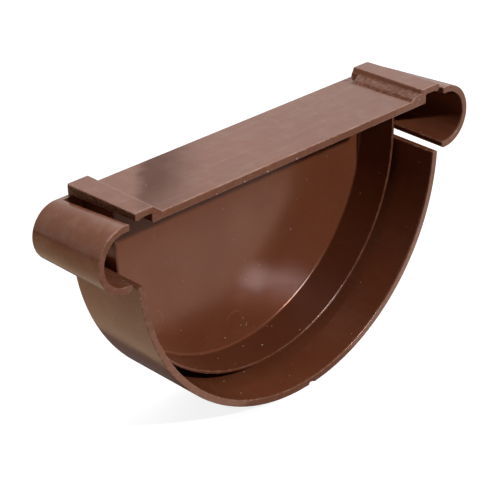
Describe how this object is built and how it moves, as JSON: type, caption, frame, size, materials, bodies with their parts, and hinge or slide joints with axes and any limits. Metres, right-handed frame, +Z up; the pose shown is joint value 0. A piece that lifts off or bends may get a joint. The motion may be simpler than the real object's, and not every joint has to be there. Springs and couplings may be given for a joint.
{
  "type": "gutter end cap",
  "caption": "End cap for a half-round gutter: a flat end wall with an outer and an inner half-round flange, tubular sockets for the gutter's rolled edges and a strap with stepped tabs on top.",
  "frame": {"origin": "on the axis of the half-round outer flange, in the flat outer face of the end wall", "axes": "+Y out of the end wall's outer face, so the mouth that takes the gutter faces -Y; +Z up, with the strap on top; +X to the right as seen from the mouth"},
  "size_m": [0.1606, 0.03, 0.0848],
  "materials": {
    "brown_plastic": "satin gloss, brown, coloured through"
  },
  "bodies": {
    "root": {"end_cap": "brown_plastic"}
  },
  "joints": []
}
